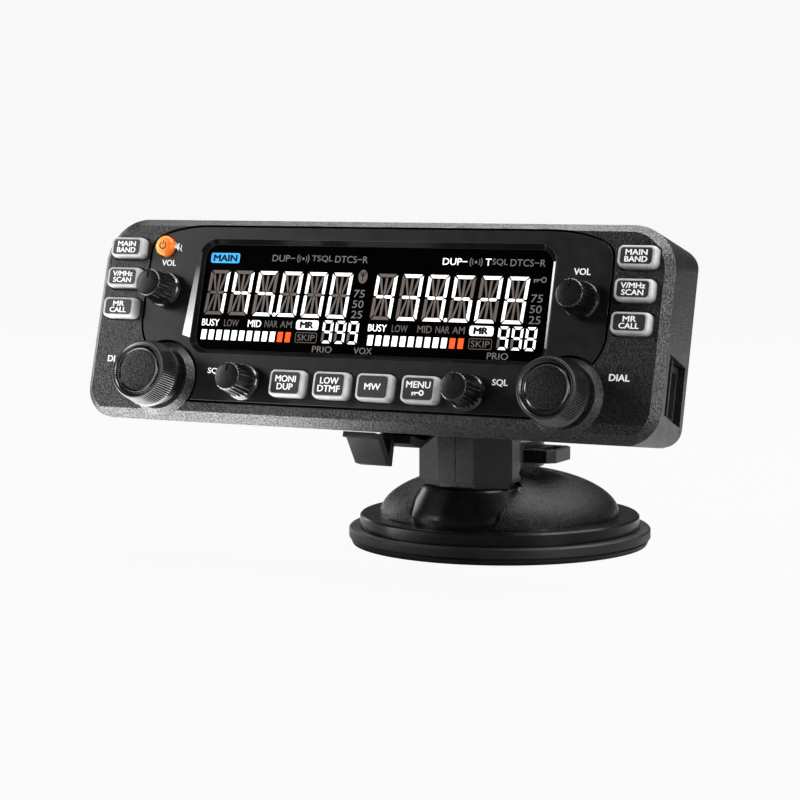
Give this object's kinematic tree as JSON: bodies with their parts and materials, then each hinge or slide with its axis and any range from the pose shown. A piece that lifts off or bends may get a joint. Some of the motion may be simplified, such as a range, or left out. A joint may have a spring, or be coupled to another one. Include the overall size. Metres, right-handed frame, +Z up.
{
  "type": "mobile transceiver controller",
  "caption": "Wide detachable radio controller with a segment display, knobs and keys, on a tilting, panning suction-cup stand.",
  "frame": {"origin": "centre of the suction pad's underside, on the surface that the stand sits on", "axes": "+Z up, +X to the right of a person facing the panel, +Y away from that person; the panel faces -Y, leaning back"},
  "size_m": [0.15, 0.1095, 0.0818],
  "materials": {
    "rubber_black": "matt moulded rubber",
    "stand_plastic": "satin black moulded plastic",
    "steel": "plated steel",
    "bezel_plastic": "fine-grained charcoal plastic",
    "panel_plastic": "smooth charcoal plastic",
    "display_black": "tinted glossy window",
    "lcd": "liquid crystal cell",
    "light_guide": "clear moulded light guide",
    "board": "green circuit board",
    "component": "moulded component bodies",
    "contact": "gold-plated spring wires",
    "knob_black": "black moulded knob",
    "key_grey": "translucent grey key",
    "power_orange": "lit orange key"
  },
  "bodies": {
    "base": {"suction_pad": "rubber_black", "base_shell": "stand_plastic", "column_half_left": "stand_plastic", "column_half_right": "stand_plastic", "column_screws": "steel", "seat_screws": "steel"},
    "lock": {"lock_lever": "stand_plastic"},
    "plunger": {"plunger": "steel", "plunger_nut": "steel", "plunger_spring": "steel"},
    "swivel": {"swivel_knuckle": "stand_plastic"},
    "head": {"head_bracket": "stand_plastic", "tilt_screw": "steel", "tilt_thumb_nut": "stand_plastic", "front_bezel": "bezel_plastic", "rear_cover": "bezel_plastic", "rear_screws": "steel", "centre_panel": "panel_plastic", "display_lens": "display_black", "lcd_glass": "lcd", "light_guide": "light_guide", "front_board": "board", "board_screws": "steel", "keypad_mats": "rubber_black", "dial_encoders": "component", "level_pots": "component", "cable_jack": "component", "jack_contacts": "contact"},
    "latch": {"release_latch": "stand_plastic"},
    "power_button": {"power_button": "power_orange"},
    "dial_left": {"dial_knob_left": "knob_black", "dial_shaft_left": "steel"},
    "volume_left": {"volume_knob_left": "knob_black", "volume_shaft_left": "steel"},
    "squelch_left": {"squelch_knob_left": "knob_black", "squelch_shaft_left": "steel"},
    "dial_right": {"dial_knob_right": "knob_black", "dial_shaft_right": "steel"},
    "volume_right": {"volume_knob_right": "knob_black", "volume_shaft_right": "steel"},
    "squelch_right": {"squelch_knob_right": "knob_black", "squelch_shaft_right": "steel"},
    "key_call_left": {"key_call_left": "key_grey"},
    "key_call_right": {"key_call_right": "key_grey"},
    "key_low": {"key_low": "key_grey"},
    "key_main_left": {"key_main_left": "key_grey"},
    "key_main_right": {"key_main_right": "key_grey"},
    "key_memory": {"key_memory": "key_grey"},
    "key_menu": {"key_menu": "key_grey"},
    "key_monitor": {"key_monitor": "key_grey"},
    "key_scan_left": {"key_scan_left": "key_grey"},
    "key_scan_right": {"key_scan_right": "key_grey"}
  },
  "joints": [
    {"name": "lock_turn", "type": "hinge", "parent": "base", "child": "lock", "pos_m": [0, 0, 0.0234], "axis": [0, 0, 1], "range_deg": [0, 90]},
    {"name": "plunger_slide", "type": "slide", "parent": "base", "child": "plunger", "axis": [0, 0, 1], "range_m": [-0.002, 0], "deforming": ["plunger_spring"]},
    {"name": "pan", "type": "hinge", "parent": "base", "child": "swivel", "pos_m": [0, -0.0202, 0.0315], "axis": [0, 0, 1], "range_deg": [-40, 40]},
    {"name": "tilt", "type": "hinge", "parent": "swivel", "child": "head", "pos_m": [0, -0.0202, 0.038], "axis": [-1, 0, 0], "range_deg": [-5, 35]},
    {"name": "latch_flex", "type": "hinge", "parent": "head", "child": "latch", "pos_m": [-0.011, -0.04653, 0.03034], "axis": [1, 0, 0], "range_deg": [0, 8], "stiffness_Nm_per_rad": 0.08},
    {"name": "power_push", "type": "slide", "parent": "head", "child": "power_button", "axis": [0, 0.9641, -0.2656], "range_m": [0, 0.0006], "stiffness_N_per_m": 900},
    {"name": "dial_left_turn", "type": "hinge", "parent": "head", "child": "dial_left", "pos_m": [-0.0638, -0.06273, 0.04497], "axis": [0, -0.9641, 0.2656], "continuous": true},
    {"name": "volume_left_turn", "type": "hinge", "parent": "head", "child": "volume_left", "pos_m": [-0.0658, -0.05694, 0.06599], "axis": [0, -0.9641, 0.2656], "range_deg": [-140, 140]},
    {"name": "squelch_left_turn", "type": "hinge", "parent": "head", "child": "squelch_left", "pos_m": [-0.0404, -0.06278, 0.04478], "axis": [0, -0.9641, 0.2656], "range_deg": [-140, 140]},
    {"name": "dial_right_turn", "type": "hinge", "parent": "head", "child": "dial_right", "pos_m": [0.0418, -0.06273, 0.04497], "axis": [0, -0.9641, 0.2656], "continuous": true},
    {"name": "volume_right_turn", "type": "hinge", "parent": "head", "child": "volume_right", "pos_m": [0.0438, -0.05694, 0.06599], "axis": [0, -0.9641, 0.2656], "range_deg": [-140, 140]},
    {"name": "squelch_right_turn", "type": "hinge", "parent": "head", "child": "squelch_right", "pos_m": [0.0184, -0.06278, 0.04478], "axis": [0, -0.9641, 0.2656], "range_deg": [-140, 140]},
    {"name": "push_call_left", "type": "slide", "parent": "head", "child": "key_call_left", "axis": [0, 0.9641, -0.2656], "range_m": [0, 0.0006], "stiffness_N_per_m": 900},
    {"name": "push_call_right", "type": "slide", "parent": "head", "child": "key_call_right", "axis": [0, 0.9641, -0.2656], "range_m": [0, 0.0006], "stiffness_N_per_m": 900},
    {"name": "push_low", "type": "slide", "parent": "head", "child": "key_low", "axis": [0, 0.9641, -0.2656], "range_m": [0, 0.0006], "stiffness_N_per_m": 900},
    {"name": "push_main_left", "type": "slide", "parent": "head", "child": "key_main_left", "axis": [0, 0.9641, -0.2656], "range_m": [0, 0.0006], "stiffness_N_per_m": 900},
    {"name": "push_main_right", "type": "slide", "parent": "head", "child": "key_main_right", "axis": [0, 0.9641, -0.2656], "range_m": [0, 0.0006], "stiffness_N_per_m": 900},
    {"name": "push_memory", "type": "slide", "parent": "head", "child": "key_memory", "axis": [0, 0.9641, -0.2656], "range_m": [0, 0.0006], "stiffness_N_per_m": 900},
    {"name": "push_menu", "type": "slide", "parent": "head", "child": "key_menu", "axis": [0, 0.9641, -0.2656], "range_m": [0, 0.0006], "stiffness_N_per_m": 900},
    {"name": "push_monitor", "type": "slide", "parent": "head", "child": "key_monitor", "axis": [0, 0.9641, -0.2656], "range_m": [0, 0.0006], "stiffness_N_per_m": 900},
    {"name": "push_scan_left", "type": "slide", "parent": "head", "child": "key_scan_left", "axis": [0, 0.9641, -0.2656], "range_m": [0, 0.0006], "stiffness_N_per_m": 900},
    {"name": "push_scan_right", "type": "slide", "parent": "head", "child": "key_scan_right", "axis": [0, 0.9641, -0.2656], "range_m": [0, 0.0006], "stiffness_N_per_m": 900}
  ],
  "couplings": [
    {"joint": "plunger_slide", "follows": "lock_turn", "m_per_rad": -0.00127}
  ]
}
